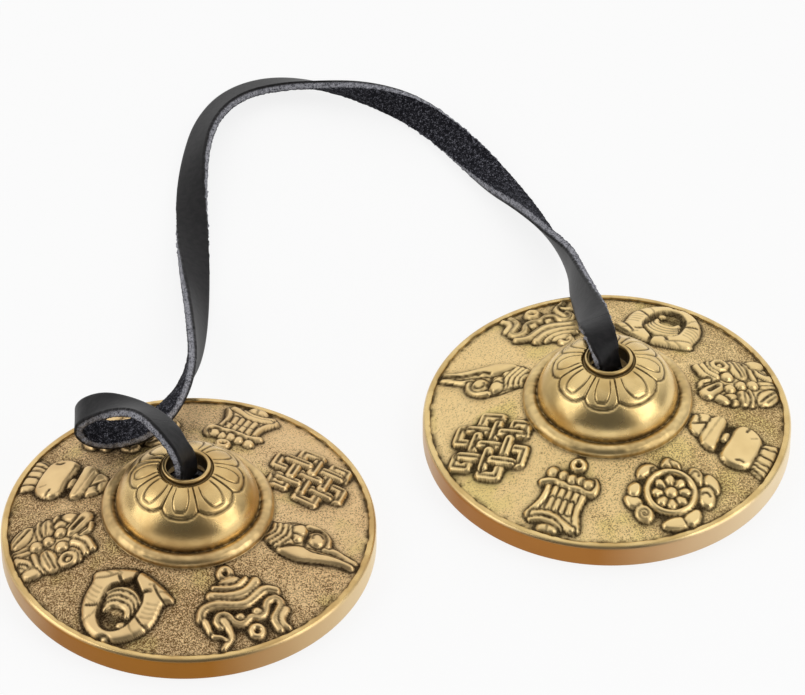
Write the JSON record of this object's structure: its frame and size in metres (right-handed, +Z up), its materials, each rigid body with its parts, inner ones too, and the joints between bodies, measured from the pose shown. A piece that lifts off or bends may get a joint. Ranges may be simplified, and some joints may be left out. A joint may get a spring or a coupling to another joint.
{
  "type": "tingsha cymbals",
  "caption": "Pair of small thick cast hand cymbals with domed, pierced middles and raised emblems, joined by a flat leather strap knotted inside each dome.",
  "frame": {"origin": "on the table, midway between the axes of the two cymbals", "axes": "+X from the left cymbal to the right one, +Y towards the strap behind them, +Z up"},
  "size_m": [0.1428, 0.1438, 0.0263],
  "materials": {
    "left_brass": "cast bronze alloy, antiqued, with a brown patina in the recesses",
    "right_brass": "cast bronze alloy, antiqued, brighter and yellower than the left one",
    "leather": "black leather, smooth on one face, suede on the other, with grey cut edges"
  },
  "bodies": {
    "left_cymbal": {"left_cymbal": "left_brass"},
    "left_strap_end": {"left_strap_knot": "leather", "left_strap_shank": "leather"},
    "strap": {"strap": "leather"},
    "right_strap_end": {"right_strap_knot": "leather", "right_strap_shank": "leather"},
    "right_cymbal": {"right_cymbal": "right_brass"}
  },
  "joints": [
    {"name": "left_strap_turn", "type": "hinge", "parent": "left_cymbal", "child": "left_strap_end", "pos_m": [-0.03894, 0, 0.0212], "axis": [0, 0, 1], "continuous": true},
    {"name": "strap_swing", "type": "hinge", "parent": "left_strap_end", "child": "strap", "pos_m": [-0.03894, 0, 0.0212], "axis": [1, 0, 0], "range_deg": [0, 90], "deforming": ["left_strap_shank"]},
    {"name": "right_strap_swing", "type": "hinge", "parent": "strap", "child": "right_strap_end", "pos_m": [0.03894, 0, 0.0212], "axis": [1, 0, 0], "range_deg": [-90, 0], "deforming": ["right_strap_shank"]},
    {"name": "right_cymbal_turn", "type": "hinge", "parent": "right_strap_end", "child": "right_cymbal", "pos_m": [0.03894, 0, 0.0212], "axis": [0, 0, 1], "continuous": true}
  ],
  "couplings": [
    {"joint": "right_strap_swing", "follows": "strap_swing", "ratio": -1}
  ]
}
